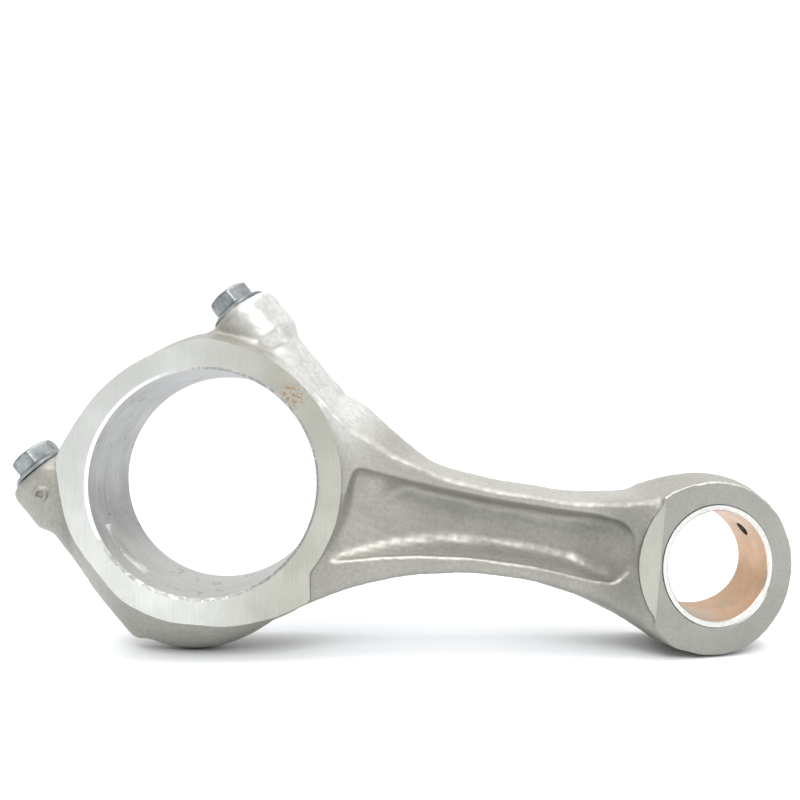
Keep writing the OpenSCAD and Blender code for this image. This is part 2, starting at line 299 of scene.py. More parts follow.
def surface_net(field, lo, hi, cell):
    """Vertices and quads of the field's zero surface, relaxed and then put back exactly on it."""
    n = np.ceil((np.array(hi) - lo) / cell).astype(int) + 1
    axes = [(lo[i] + cell * np.arange(n[i])).astype(np.float32) for i in range(3)]
    value = field(axes[0][:, None, None], axes[1][None, :, None], axes[2][None, None, :])
    inside = value < 0
    # One vertex in each cell that the surface passes through, at the mean of its crossings.
    corners = [(i, j, k) for i in (0, 1) for j in (0, 1) for k in (0, 1)]
    count = sum(
        inside[i : n[0] - 1 + i, j : n[1] - 1 + j, k : n[2] - 1 + k].astype(np.int8) for i, j, k in corners
    )
    active = (count > 0) & (count < 8)
    ijk = np.argwhere(active)
    index = np.full(active.shape, -1, np.int64)
    index[active] = np.arange(len(ijk))
    total = np.zeros((len(ijk), 3))
    hits = np.zeros(len(ijk))
    for a in corners:
        for axis in range(3):
            if a[axis]:
                continue
            b = list(a)
            b[axis] = 1
            fa = value[tuple((ijk + a).T)]
            fb = value[tuple((ijk + b).T)]
            cross = (fa < 0) != (fb < 0)
            t = np.where(cross, fa / np.where(cross, fa - fb, 1), 0)
            p = np.array(a)[None, :] + t[:, None] * (np.array(b) - a)[None, :]
            total += p * cross[:, None]
            hits += cross
    verts = np.array(lo) + cell * (ijk + total / hits[:, None])
    # One quad round each edge of the grid that the surface crosses.
    quads = []
    for axis in range(3):
        o1, o2 = (axis + 1) % 3, (axis + 2) % 3
        e1, e2 = np.eye(3, dtype=int)[o1], np.eye(3, dtype=int)[o2]
        first = [slice(None)] * 3
        second = [slice(None)] * 3
        first[axis] = slice(0, -1)
        second[axis] = slice(1, None)
        change = inside[tuple(first)] != inside[tuple(second)]
        keep = np.zeros_like(change)
        inner = [slice(None)] * 3
        inner[o1] = slice(1, -1)
        inner[o2] = slice(1, -1)
        keep[tuple(inner)] = change[tuple(inner)]
        g = np.argwhere(keep)
        q = np.stack([index[tuple((g - d).T)] for d in (0 * e1, e1, e1 + e2, e2)], 1)
        out = inside[tuple(g.T)]
        q[~out] = q[~out][:, ::-1]
        quads.append(q)
    quads = np.concatenate(quads)
    edges = np.concatenate([quads[:, [i, (i + 1) % 4]] for i in range(4)])
    for _ in range(RELAX_ROUNDS):
        verts = relax(verts, edges)
        verts = project(field, verts, cell)
    return project(field, verts, cell), quads


def relax(verts, edges):
    """Each vertex moved half way to the mean of its neighbours."""
    n = len(verts)
    near = np.bincount(edges[:, 0], minlength=n) + np.bincount(edges[:, 1], minlength=n)
    out = np.empty_like(verts)
    for i in range(3):
        s = np.bincount(edges[:, 0], weights=verts[edges[:, 1], i], minlength=n)
        s += np.bincount(edges[:, 1], weights=verts[edges[:, 0], i], minlength=n)
        out[:, i] = s / near
    return 0.5 * verts + 0.5 * out


def project(field, verts, cell):
    """One Newton step to the surface, never longer than half a cell."""
    x, y, z = verts.T
    eps = 0.02
    least_slope = 0.04
    here = field(x, y, z)
    ahead = field(x + eps, y, z), field(x, y + eps, z), field(x, y, z + eps)
    grad = np.stack([value - here for value in ahead], 1) / eps
    move = here[:, None] * grad / np.maximum((grad**2).sum(1), least_slope)[:, None]
    size = np.linalg.norm(move, axis=1, keepdims=True)
    return verts - move * np.minimum(1, 0.5 * cell / np.maximum(size, 1e-9))


def mesh_object(name, verts, faces):
    """A linked object from vertices and faces."""
    mesh = bpy.data.meshes.new(name)
    mesh.from_pydata([tuple(v) for v in verts], [], [tuple(int(i) for i in f) for f in faces])
    mesh.validate()
    mesh.update()
    obj = bpy.data.objects.new(name, mesh)
    bpy.context.scene.collection.objects.link(obj)
    return obj


def forging(name, field, lo, hi):
    """The forging of a field, meshed in the box between two corners that holds it."""
    verts, quads = surface_net(field, lo, hi, CELL)
    obj = mesh_object(name, verts, quads)
    outward(obj)
    return obj


def outward(obj):
    """Faces turned outwards, so that the signed volume is positive."""
    bm = bmesh.new()
    bm.from_mesh(obj.data)
    if bm.calc_volume(signed=True) < 0:
        bmesh.ops.reverse_faces(bm, faces=bm.faces)
    bm.to_mesh(obj.data)
    bm.free()


# ---------------------------------------------------------------- cutters
def block(name, lo, hi, matrix=None):
    """A box cutter between two corners, in rod coordinates or in the coordinates of matrix."""
    bm = bmesh.new()
    bmesh.ops.create_cube(bm, size=1)
    lo, hi = Vector(lo), Vector(hi)
    for v in bm.verts:
        v.co = Vector(((v.co[i] + 0.5) * (hi[i] - lo[i]) + lo[i]) for i in range(3))
    if matrix is not None:
        bm.transform(matrix)
    return from_bmesh(name, bm)


def from_bmesh(name, bm):
    """A linked object from a bmesh, its normals outwards."""
    bmesh.ops.recalc_face_normals(bm, faces=bm.faces)
    mesh = bpy.data.meshes.new(name)
    bm.to_mesh(mesh)
    bm.free()
    obj = bpy.data.objects.new(name, mesh)
    bpy.context.scene.collection.objects.link(obj)
    return obj


def lathe(name, profile, segments, matrix=None, ring=False, warp=None):
    """A solid of revolution about Z from (r, z) points, where r may be a function of the angle.

    ring closes the profile. warp moves each point, after matrix.
    """
    bm = bmesh.new()
    angles = [2 * math.pi * i / segments for i in range(segments)]
    rows = []
    for r, z in profile:
        if not callable(r) and r == 0:
            rows.append([bm.verts.new((0, 0, z))])
            continue
        radii = [r(a) if callable(r) else r for a in angles]
        rows.append([bm.verts.new((q * math.cos(a), q * math.sin(a), z)) for q, a in zip(radii, angles)])
    pairs = list(zip(rows, rows[1:]))
    if ring:
        pairs.append((rows[-1], rows[0]))
    for a, b in pairs:
        for i in range(segments):
            j = (i + 1) % segments
            if len(a) == 1:
                bm.faces.new((a[0], b[j], b[i]))
            elif len(b) == 1:
                bm.faces.new((a[i], a[j], b[0]))
            else:
                bm.faces.new((a[i], a[j], b[j], b[i]))
    if matrix is not None:
        bm.transform(matrix)
    if warp is not None:
        for v in bm.verts:
            v.co = warp(v.co)
    return from_bmesh(name, bm)


def along_y(x):
    """A lathe's Z axis laid along Y, through (x, 0) in rod coordinates."""
    return Matrix.Translation((x, 0, 0)) @ Matrix.Rotation(-math.pi / 2, 4, "X")


def on_bolt(side):
    """A lathe's Z axis laid along the upper bolt for side 1, or the lower for -1, from the split plane."""
    return TO_SPLIT @ Matrix.Translation((side * BOLT_U, 0, 0))


def bore_cutter(x, r, chamfer):
    """A bore with its chamfers, which reaches out past the machined faces at 45 degrees."""
    reach = 3
    wide, end, plain = r + chamfer + reach, HALF_W + reach, HALF_W - chamfer
    profile = [(0, -end), (wide, -end), (r, -plain), (r, plain), (wide, end), (0, end)]
    return lathe("cut_bore", profile, 256, along_y(x))


def split_cutter(side):
    """All that lies above the split plane for side 1, or below it for side -1."""
    far = 100
    low, high = (-JOINT_GAP, far) if side > 0 else (-far, JOINT_GAP)
    return block("cut_split", (-90, -60, low), (90, 60, high), TO_SPLIT)


def wedge_cutters():
    """What is ground off the two wedge faces of the small end."""
    far = 60
    out = []
    for s in (-1, 1):
        m = Matrix.Translation((TAPER_X, s * HALF_W, 0)) @ Matrix.Rotation(-TAPER_LEAN, 4, "Y")
        m = m @ Matrix.Rotation(-s * TAPER_ANGLE, 4, "Z")
        out.append(block("cut_wedge", (0, min(0, s * far), -far), (2 * far, max(0, s * far), far), m))
    return out


def rim_cutters(r, chamfer):
    """Chamfers of a bore of the small end, which follow the two wedge faces."""
    profile = [(0, -chamfer), (r, -chamfer), (r + chamfer + 1, 1), (0, 1)]
    out = []
    for s in (-1, 1):

        def on_face(p, s=s):
            x, z = p.x + EYE_X, p.y
            return Vector((x, s * (float(half_width(x, z)) + p.z), z))

        out.append(lathe("cut_rim", profile, 192, warp=on_face))
    return out


def oil_cutter():
    """The oil hole from inside the bush up through the eye, with its countersink."""
    sink = 28.2
    m = Matrix.Translation((EYE_X, 0, 0)) @ Matrix.Rotation(math.pi / 2 - OIL_ANGLE, 4, "Y")
    profile = [(0, 4), (OIL_R, 4), (OIL_R, sink), (OIL_R + 4, sink + 4), (0, sink + 4)]
    return lathe("cut_oil", profile, 48, m)


def notch_cutter():
    """The notch for the tangs of the bearing shells, across the lower split line."""
    r, half, y = 18.7, 2.75, -7.75
    m = TO_SPLIT @ Matrix.Translation((-(BORE_R + 2 - r), y, 0)) @ Matrix.Rotation(math.pi / 2, 4, "X")
    return lathe("cut_notch", [(0, -half), (r, -half), (r, half), (0, half)], 96, m)


def seat_cutter(side):
    """What is faced off above a bolt seat."""
    r, far = 17, 70
    return lathe("cut_seat", [(0, SEAT_N), (r, SEAT_N), (r, far), (0, far)], 96, on_bolt(side))


def cap_hole_cutter(side):
    """The plain hole of a bolt through the cap, with a small chamfer at each end."""
    r, top = CAP_HOLE_R, SEAT_N + 4.4
    profile = [(0, -5), (r + 6, -6), (r, 0.5), (r, SEAT_N - 0.6), (r + 5, top), (0, top)]
    return lathe("cut_hole", profile, 64, on_bolt(side))


def thread_hole_cutter(side):
    """The threaded hole of a bolt in the rod, as grooves, with a countersink at the split plane."""
    r, depth, pitch = THREAD_HOLE_R, 0.7, THREAD_PITCH
    profile = [(0, -HOLE_END - 3), (r - depth, -HOLE_END)]
    z = -HOLE_END + 0.2
    while z < -1.2 - 1e-6:
        profile += [(r, z), (r, z + 0.2 * pitch), (r - depth, z + 0.5 * pitch), (r - depth, z + 0.7 * pitch)]
        z += pitch
    profile += [(r, -0.9), (r + 6, 5.1), (0, 5.1)]
    return lathe("cut_thread", profile, 48, on_bolt(side))


def machined(obj, cuts):
    """obj milled to width and cut by boolean, and the cutters removed."""
    width = block("keep_width", (-300, -HALF_W, -200), (300, HALF_W, 200))
    tools = [(width, "INTERSECT")] + [(tool, "DIFFERENCE") for tool in cuts]
    for tool, operation in tools:
        mod = obj.modifiers.new("cut", "BOOLEAN")
        mod.object = tool
        mod.operation = operation
        mod.solver = "MANIFOLD"
    graph = bpy.context.evaluated_depsgraph_get()
    mesh = bpy.data.meshes.new_from_object(obj.evaluated_get(graph))
    obj.modifiers.clear()
    mesh.materials.clear()
    obj.data = mesh
    for tool, _ in tools:
        bpy.data.objects.remove(tool)


def finish_mesh(obj, materials, kinds, sharp=SHARP_ANGLE, painted_light=None):
    """A material for each face, smooth shading with sharp edges, and the move to the row frame.

    kinds gives each face the index of its material, and an edge between two materials is sharp. The last
    argument gives each vertex the amount of painted light that the forged material reads.
    """
    mesh = obj.data
    for material in materials:
        mesh.materials.append(material)
    count = len(mesh.polygons)
    centre = np.empty(count * 3)
    normal = np.empty(count * 3)
    mesh.polygons.foreach_get("center", centre)
    mesh.polygons.foreach_get("normal", normal)
    index = kinds(centre.reshape(-1, 3), normal.reshape(-1, 3)).astype(np.int32)
    mesh.polygons.foreach_set("material_index", index)
    mesh.polygons.foreach_set("use_smooth", np.ones(count, bool))
    mesh.set_sharp_from_angle(angle=math.radians(sharp))
    if painted_light is not None:
        point = np.empty(len(mesh.vertices) * 3)
        facing = np.empty(len(mesh.vertices) * 3)
        mesh.vertices.foreach_get("co", point)
        mesh.vertex_normals.foreach_get("vector", facing)
        amount = painted_light(point.reshape(-1, 3), facing.reshape(-1, 3))
        mesh.attributes.new("painted_light", "FLOAT", "POINT").data.foreach_set("value", amount.astype(np.float32))
    bm = bmesh.new()
    bm.from_mesh(mesh)
    for e in bm.edges:
        pair = sorted(f.material_index for f in e.link_faces)
        if len(pair) == 2 and pair[0] != pair[1]:
            e.smooth = False
    bm.transform(TO_ROW)
    bm.to_mesh(mesh)
    bm.free()
    mesh.update()


# ---------------------------------------------------------------- materials
class Nodes:
    """A small helper for building a node material, whose methods add a node and give its output."""

    def __init__(self, name):
        self.mat = bpy.data.materials.new(name)
        self.mat.use_nodes = True
        self.tree = self.mat.node_tree
        self.tree.nodes.clear()
        out = self.tree.nodes.new("ShaderNodeOutputMaterial")
        self.bsdf = self.tree.nodes.new("ShaderNodeBsdfPrincipled")
        self.link(self.bsdf.outputs[0], out.inputs[0])
        coord = self.tree.nodes.new("ShaderNodeTexCoord")
        self.object_mm = self.mapping(coord.outputs["Object"], scale=(1000, 1000, 1000))

    def link(self, a, b):
        self.tree.links.new(a, b)

    def feed(self, value, socket):
        """Sets an input from a number or a colour, or links it to an output."""
        if isinstance(value, (int, float)):
            socket.default_value = value
        elif isinstance(value, tuple):
            socket.default_value = (*value, 1)
        else:
            self.link(value, socket)

    def mapping(self, vector, scale=(1, 1, 1), rotation=(0, 0, 0), location=(0, 0, 0)):
        node = self.tree.nodes.new("ShaderNodeMapping")
        node.inputs["Scale"].default_value = scale
        node.inputs["Rotation"].default_value = rotation
        node.inputs["Location"].default_value = location
        self.link(vector, node.inputs["Vector"])
        return node.outputs[0]

    def noise(self, scale, detail=4.0, rough=0.55, vector=None, distortion=0.0):
        """Noise whose scale is in waves per millimetre."""
        node = self.tree.nodes.new("ShaderNodeTexNoise")
        node.inputs["Scale"].default_value = scale
        node.inputs["Detail"].default_value = detail
        node.inputs["Roughness"].default_value = rough
        node.inputs["Distortion"].default_value = distortion
        self.link(vector or self.object_mm, node.inputs["Vector"])
        return node.outputs["Fac"]

    def ramp(self, value, *stops):
        """Colours or greys between stops, each a position and a colour or a number."""
        node = self.tree.nodes.new("ShaderNodeValToRGB")
        while len(node.color_ramp.elements) < len(stops):
            node.color_ramp.elements.new(0.5)
        for element, (pos, colour) in zip(node.color_ramp.elements, stops):
            element.position = pos
            element.color = (*colour, 1) if isinstance(colour, tuple) else (colour, colour, colour, 1)
        self.link(value, node.inputs[0])
        return node.outputs[0]

    def mix(self, fac, a, b, blend="MIX"):
        node = self.tree.nodes.new("ShaderNodeMix")
        node.data_type = "RGBA"
        node.blend_type = blend
        for value, socket in ((fac, node.inputs[0]), (a, node.inputs[6]), (b, node.inputs[7])):
            self.feed(value, socket)
        return node.outputs[2]

    def tint(self, colour, by):
        """A colour multiplied by another colour or by a grey."""
        return self.mix(1.0, colour, by, "MULTIPLY")

    def math(self, op, a, b, clamp=False):
        node = self.tree.nodes.new("ShaderNodeMath")
        node.operation = op
        node.use_clamp = clamp
        self.feed(a, node.inputs[0])
        self.feed(b, node.inputs[1])
        return node.outputs[0]

    def axis(self, vector, name):
        node = self.tree.nodes.new("ShaderNodeSeparateXYZ")
        self.link(vector, node.inputs[0])
        return node.outputs[name]

    def range(self, value, low, high):
        """0 at low to 1 at high, smoothly."""
        node = self.tree.nodes.new("ShaderNodeMapRange")
        node.interpolation_type = "SMOOTHSTEP"
        node.inputs["From Min"].default_value = low
        node.inputs["From Max"].default_value = high
        self.link(value, node.inputs["Value"])
        return node.outputs["Result"]

    def attribute(self, name):
        node = self.tree.nodes.new("ShaderNodeAttribute")
        node.attribute_name = name
        return node.outputs["Fac"]

    def spot(self, centre, radius):
        """1 at a point of the row frame, falling to 0 at radius from it, in millimetres."""
        place = self.mapping(self.object_mm, location=tuple(-c for c in centre))
        node = self.tree.nodes.new("ShaderNodeVectorMath")
        node.operation = "LENGTH"
        self.link(place, node.inputs[0])
        return self.range(node.outputs["Value"], radius, 0)

    def bump(self, height, strength, distance_mm):
        node = self.tree.nodes.new("ShaderNodeBump")
        node.inputs["Strength"].default_value = strength
        node.inputs["Distance"].default_value = distance_mm * 0.001
        self.link(height, node.inputs["Height"])
        return node.outputs[0]

    def finish(self, colour, rough, normal, metallic):
        self.link(colour, self.bsdf.inputs["Base Color"])
        self.link(rough, self.bsdf.inputs["Roughness"])
        self.link(normal, self.bsdf.inputs["Normal"])
        self.bsdf.inputs["Metallic"].default_value = metallic
        return self.mat


def row_point(x, y, z):
    """A point of the rod in the millimetres of the row frame."""
    return TO_ROW @ Vector((x, y, z)) * 1000


def forged_material():
    """The rough skin of the forgings, ground bright in places, with painted light, painted highlights and
    painted shade where noted.
    """
    m = Nodes("forged_steel")
    broad = m.noise(0.05, 3)
    grain = m.noise(0.8, 5, 0.65)
    fine = m.noise(2.4, 3, 0.6)
    colour = m.ramp(broad, (0.3, (0.30, 0.293, 0.262)), (0.7, (0.36, 0.352, 0.316)))
    # The upper ear and boss are ground bright along the bolt, and carry a painted highlight as well.
    split = m.mapping(m.object_mm, rotation=(0, SPLIT - STAND, 0))
    u, n = m.axis(split, "X"), m.axis(split, "Z")
    streak = m.noise(0.9, 4, 0.6, m.mapping(split, scale=(1.0, 1.0, 0.3)), 0.6)
    upper = m.math("MULTIPLY", m.range(u, 38, 46), m.range(n, -30, -12))
    ground_and_highlit = m.math("MULTIPLY", upper, m.ramp(streak, (0.34, 0.6), (0.60, 0.95)))
    colour = m.mix(ground_and_highlit, colour, (0.61, 0.605, 0.585))
    # Painted light on the shank, read from a vertex attribute: painted highlights on upward edges and the
    # low pocket fillet, painted light on upward faces.
    patchy = m.ramp(m.noise(0.5, 3, 0.6), (0.3, 0.5), (0.6, 0.95))
    painted_light = m.math("MULTIPLY", m.attribute("painted_light"), patchy)
    colour = m.mix(painted_light, colour, (0.54, 0.53, 0.49))
    # Painted shade around the end of the pocket and under the lower ear.
    scale = m.spot(row_point(*LOWER_NECK), 16)
    for side in (-SHANK_HALF, SHANK_HALF):
        scale = m.math("MAXIMUM", scale, m.spot(row_point(137, side, 9), 17))
        scale = m.math("MAXIMUM", scale, m.spot(row_point(139, side, -12), 17))
    colour = m.mix(m.math("MULTIPLY", scale, 0.34), colour, (0.0, 0.0, 0.0))
    speck = m.ramp(grain, (0.36, 0.90), (0.62, 1.05))
    colour = m.tint(colour, speck)
    polish = m.math("MAXIMUM", ground_and_highlit, painted_light)
    rough = m.mix(polish, m.ramp(grain, (0.3, 0.56), (0.7, 0.44)), (0.34, 0.34, 0.34))
    height = m.mix(0.5, grain, fine)
    return m.finish(colour, rough, m.bump(height, 0.4, 0.13), 0.55)


def machined_material():
    """The milled faces of the big end: warmer and darker at the right, paler and brighter at the left, which
    is painted light.
    """
    m = Nodes("machined_face")
    lines = m.noise(1.0, 3, 0.6, m.mapping(m.object_mm, scale=(2.2, 0.05, 0.09)))
    broad = m.noise(0.06, 3)
    warm_painted_shade = m.ramp(broad, (0.3, (0.39, 0.386, 0.335)), (0.7, (0.47, 0.465, 0.41)))
    pale_painted_light = m.ramp(broad, (0.3, (0.57, 0.58, 0.545)), (0.7, (0.68, 0.69, 0.66)))
    # Painted light: paler and brighter to the left, warmer and darker to the right.
    low = m.range(m.axis(m.object_mm, "X"), 30, -12)
    colour = m.mix(low, warm_painted_shade, pale_painted_light)
    streak = m.ramp(lines, (0.35, 0.95), (0.65, 1.03))
    colour = m.tint(colour, streak)
    # A few rust specks on the upper right of the ring.
    patch = m.spot(row_point(23.6, -HALF_W, 32.2), 6.5)
    specks = m.ramp(m.noise(0.9, 3, 0.6), (0.47, 0.0), (0.58, 1.0))
    rust = m.math("MULTIPLY", m.math("MULTIPLY", patch, specks), 1.1, clamp=True)
    colour = m.mix(rust, colour, (0.34, 0.20, 0.10))
    rough = m.ramp(lines, (0.3, 0.48), (0.7, 0.38))
    return m.finish(colour, rough, m.bump(lines, 0.2, 0.04), 0.9)


def ground_material():
    """The wedge faces of the small end: fine, even and a little darker."""
    m = Nodes("ground_face")
    broad = m.noise(0.05, 4, 0.6)
    fine = m.noise(1.6, 4, 0.65)
    stain = m.noise(0.22, 3)
    colour = m.ramp(broad, (0.3, (0.29, 0.293, 0.262)), (0.7, (0.35, 0.35, 0.315)))
    colour = m.tint(colour, m.ramp(fine, (0.35, 0.93), (0.65, 1.05)))
    colour = m.tint(colour, m.ramp(stain, (0.27, 0.82), (0.36, 1.0)))
    rough = m.ramp(fine, (0.3, 0.56), (0.7, 0.46))
    return m.finish(colour, rough, m.bump(fine, 0.2, 0.04), 0.85)


def bore_material():
    """The bores and bolt holes: honed rings, stains, and painted light low down, where the bore faces up."""
    m = Nodes("honed_bore")
    patch = m.noise(0.06, 3, 0.5)
    rings = m.noise(1.0, 3, 0.55, m.mapping(m.object_mm, scale=(0.12, 1.1, 0.12)))
    marks = m.noise(0.2, 4, 0.65, m.mapping(m.object_mm, scale=(1, 0.8, 1)), 0.8)
    colour = m.ramp(patch, (0.3, (0.29, 0.29, 0.285)), (0.7, (0.385, 0.385, 0.38)))
    # Painted light: the bore is brighter low down, where it faces up.
    low = m.math("MULTIPLY", m.range(m.axis(m.object_mm, "Z"), -14, -32), 0.7)
    colour = m.mix(low, colour, (0.52, 0.52, 0.505))
    colour = m.tint(colour, m.ramp(rings, (0.35, 0.93), (0.65, 1.04)))
    colour = m.tint(colour, m.ramp(marks, (0.30, 0.62), (0.40, 1.0)))
    rough = m.ramp(rings, (0.3, 0.48), (0.7, 0.38))
    return m.finish(colour, rough, m.bump(rings, 0.15, 0.03), 0.95)


def edge_material():
    """The chamfers of the big end bore: dull, with a painted highlight on the left and bright metal in
    chips.
    """
    m = Nodes("chamfer")
    fine = m.noise(0.9, 3, 0.6)
    x, z = m.axis(m.object_mm, "X"), m.axis(m.object_mm, "Z")
    # A painted highlight on the left of the chamfer, and chips of bright metal where the noise is high.
    left = m.math("MULTIPLY", m.range(x, 6, -22), m.range(z, -27, -12))
    left = m.math("MAXIMUM", left, m.ramp(m.noise(0.5, 3, 0.6), (0.56, 0.0), (0.62, 0.7)))
    dull = m.ramp(fine, (0.35, (0.34, 0.34, 0.33)), (0.66, (0.52, 0.52, 0.50)))
    fresh_and_highlit = m.ramp(fine, (0.3, (0.74, 0.74, 0.72)), (0.7, (0.88, 0.88, 0.86)))
    colour = m.mix(left, dull, fresh_and_highlit)
    rough = m.mix(left, (0.6, 0.6, 0.6), m.ramp(fine, (0.3, 0.36), (0.7, 0.26)))
    return m.finish(colour, rough, m.bump(fine, 0.15, 0.04), 0.9)


def highlit_edge_material():
    """The broken edge of the wedge faces, where the grinder caught it, with a painted highlight in its
    bright colour.
    """
    m = Nodes("worn_edge_painted_highlight")
    chips = m.noise(0.7, 4, 0.7)
    colour = m.ramp(chips, (0.36, (0.46, 0.45, 0.41)), (0.62, (0.78, 0.77, 0.72)))
    rough = m.ramp(chips, (0.3, 0.5), (0.7, 0.3))
    return m.finish(colour, rough, m.bump(chips, 0.5, 0.25), 0.9)


def bolt_material():
    """The dark blued steel of the bolts."""
    m = Nodes("bolt_steel")
    broad = m.noise(0.25, 4)
    grain = m.noise(2.0, 4)
    colour = m.ramp(broad, (0.35, (0.20, 0.217, 0.22)), (0.65, (0.33, 0.35, 0.355)))
    speck = m.ramp(grain, (0.4, 0.9), (0.65, 1.1))
    colour = m.tint(colour, speck)
    rough = m.ramp(grain, (0.3, 0.5), (0.7, 0.36))
    return m.finish(colour, rough, m.bump(grain, 0.25, 0.08), 0.9)


def bush_steel_material():
    """The bright turned steel of the bush."""
    m = Nodes("bush_steel")
    fine = m.noise(1.5, 3)
    colour = m.ramp(fine, (0.3, (0.54, 0.53, 0.50)), (0.7, (0.72, 0.71, 0.68)))
    rough = m.ramp(fine, (0.3, 0.36), (0.7, 0.26))
    return m.finish(colour, rough, m.bump(fine, 0.1, 0.03), 1.0)


def bronze_material():
    """The bronze of the bush lining, streaked round the bore, darker and greenish low down."""
    m = Nodes("bush_bronze")
    patch = m.noise(0.11, 4, 0.6)
    fine = m.noise(1.4, 3, 0.6, m.mapping(m.object_mm, scale=(1, 2.5, 1)))
    brown, copper, pale = (0.43, 0.33, 0.22), (0.53, 0.33, 0.20), (0.53, 0.37, 0.26)
    colour = m.ramp(patch, (0.32, brown), (0.5, copper), (0.7, pale))
    low = m.spot(row_point(EYE_X - 2, -4, -PIN_R), 9)
    colour = m.mix(m.math("MULTIPLY", low, 0.75), colour, (0.36, 0.35, 0.24))
    streak = m.ramp(fine, (0.35, 0.88), (0.65, 1.08))
    colour = m.tint(colour, streak)
    rough = m.ramp(patch, (0.3, 0.42), (0.7, 0.3))
    return m.finish(colour, rough, m.bump(fine, 0.2, 0.04), 0.9)


# The materials of the forgings, and the index of each, in the same order.
MATERIALS = (
    forged_material(),
    machined_material(),
    bore_material(),
    edge_material(),
    ground_material(),
    highlit_edge_material(),
)
SKIN, FACE, BORE, CHAMFER, WEDGE, WORN_HIGHLIT = range(len(MATERIALS))
BOLT_STEEL = bolt_material()
BUSH_STEEL = bush_steel_material()
BRONZE = bronze_material()


# ---------------------------------------------------------------- kinds of face, and painted light
def big_end_kinds(centre, normal):
    """The kind of each face of the big end, by where it lies and which way it looks."""
    x, y, z = centre.T
    u, n = split_uv(x, z)
    r = np.hypot(x, z)
    tilt = np.abs(normal[:, 1])
    along = np.abs(normal[:, 2] * math.cos(SPLIT) - normal[:, 0] * math.sin(SPLIT))
    square = np.abs(along - 1) < 1e-3
    kind = np.full(len(x), SKIN)
    kind[(tilt > 0.999) & (np.abs(np.abs(y) - HALF_W) < 0.01)] = FACE
    kind[square & (np.abs(n) < 0.1)] = FACE
    kind[square & (np.abs(n - SEAT_N) < 0.02)] = FACE
    kind[(r < BORE_R + 0.2) & (tilt < 0.1)] = BORE
    kind[(r < BORE_R + BORE_CHAMFER + 0.1) & (np.abs(tilt - math.sqrt(0.5)) < 0.02)] = CHAMFER
    # What is left close to the bore is the tang notch.
    kind[(r < BORE_R + 2.2) & (kind == SKIN) & (u < 0)] = FACE
    hole = np.hypot(np.abs(u) - BOLT_U, y)
    kind[(hole < CAP_HOLE_R + 0.1) & (along < 0.98) & (n > -HOLE_END - 3.5)] = BORE
    return kind


def rod_kinds(centre, normal):
    """The kind of each face of the rod: the big end's, the eye's bore, the wedge faces and the painted
    highlight on their upper edge.
    """
    kind = big_end_kinds(centre, normal)
    x, y, z = centre.T
    tilt = np.abs(normal[:, 1])
    kind[(np.hypot(x - EYE_X, z) < BUSH_R + 0.6) & (tilt < 0.9)] = BORE
    near = half_width(x, z) - np.abs(y)
    # The upper edge of the wedge faces: a broken edge, painted bright as a highlight where light catches it.
    kind[(kind == SKIN) & (near < 0.75) & (x > ridge_x(z)) & (z > 4)] = WORN_HIGHLIT
    wedge = (tilt > 0.97) & (tilt < 0.985) & (x > TAPER_X - 2)
    wedge &= np.abs(np.abs(y) - (HALF_W - (x - TAPER_X) * math.tan(TAPER_ANGLE))) < 0.6
    kind[wedge] = WEDGE
    return kind


def shank_painted_light(point, normal):
    """Painted light on the shank, from 0 to 1: painted highlights on upward edges and the fillet low in the
    pocket, and painted light on the top and the upward wall low in the pocket.
    """
    x, y, z = point.T
    tilt = np.abs(normal[:, 1])
    up = normal[:, 2]
    outer = step(SHANK_HALF - 2.4, SHANK_HALF - 1.2, np.abs(y))
    edge = step(0.25, 0.5, tilt) * step(0.98, 0.88, tilt) * step(0.1, 0.4, up) * outer * 0.7
    pocket = (z < 4) * (1 - outer) * step(138, 116, x)
    fillet = 0.6 * step(0.05, 0.4, up) * step(0.92, 0.7, up)
    wall = 0.85 * step(0.6, 0.85, up)
    top = 0.4 * (z > 4) * step(0.6, 0.9, up) * step(60, 70, x)
    along = step(36, 48, x) * step(146, 137, x)
    return np.maximum(np.maximum(edge, top), pocket * np.maximum(fillet, wall)) * along


# ---------------------------------------------------------------- pieces
def make_rod():
    """The rod with its half of the big end bore, the eye and the threaded holes."""
    rod = forging("rod_forged", rod_field, (-56, -22, -62), (202, 22, 62))
    cuts = [split_cutter(1), bore_cutter(0, BORE_R, BORE_CHAMFER), bore_cutter(EYE_X, BUSH_R, 0.0)]
    cuts += wedge_cutters() + rim_cutters(BUSH_R, 0.45)
    cuts += [oil_cutter(), notch_cutter(), thread_hole_cutter(1), thread_hole_cutter(-1)]
    machined(rod, cuts)
    finish_mesh(rod, MATERIALS, rod_kinds, painted_light=shank_painted_light)
    return rod


def make_cap():
    """The cap with the other half of the bore, and the seats and holes of the bolts."""
    cap = forging("cap_forged", cap_field, (-74, -22, -49), (44, 22, 76))
    cuts = [split_cutter(-1), bore_cutter(0, BORE_R, BORE_CHAMFER), notch_cutter()]
    for side in (1, -1):
        cuts += [seat_cutter(side), cap_hole_cutter(side)]
    machined(cap, cuts)
    finish_mesh(cap, MATERIALS, big_end_kinds)
    return cap


def hex_radius(flat, corner):
    """The outline of a hexagon of two radii, to its flats and to its rounded corners."""

    def radius(a):
        off = (a + math.pi / 6) % (math.pi / 3) - math.pi / 6
        sharp = flat / math.cos(off)
        return float(smin(sharp, corner, 0.35))

    return radius


def bolt_thread(low, high):
    """The rows of a bolt's thread between two heights, which fades at both ends."""
    depth = 0.72
    rows_per_turn = 10
    rows = []
    z = low
    while z < high:
        fade = min(1, (z - low) / 1.2 + 0.15, (high - z) / 1.0 + 0.25)

        def helix(a, z=z, fade=fade):
            phase = (z / THREAD_PITCH - a / (2 * math.pi)) % 1.0
            ridge = min(1, max(0, 1.25 - abs(phase - 0.5) * 3.2))
            return BOLT_R - 0.05 - depth + depth * ridge * fade

        rows.append((helix, z))
        z += THREAD_PITCH / rows_per_turn
    return rows


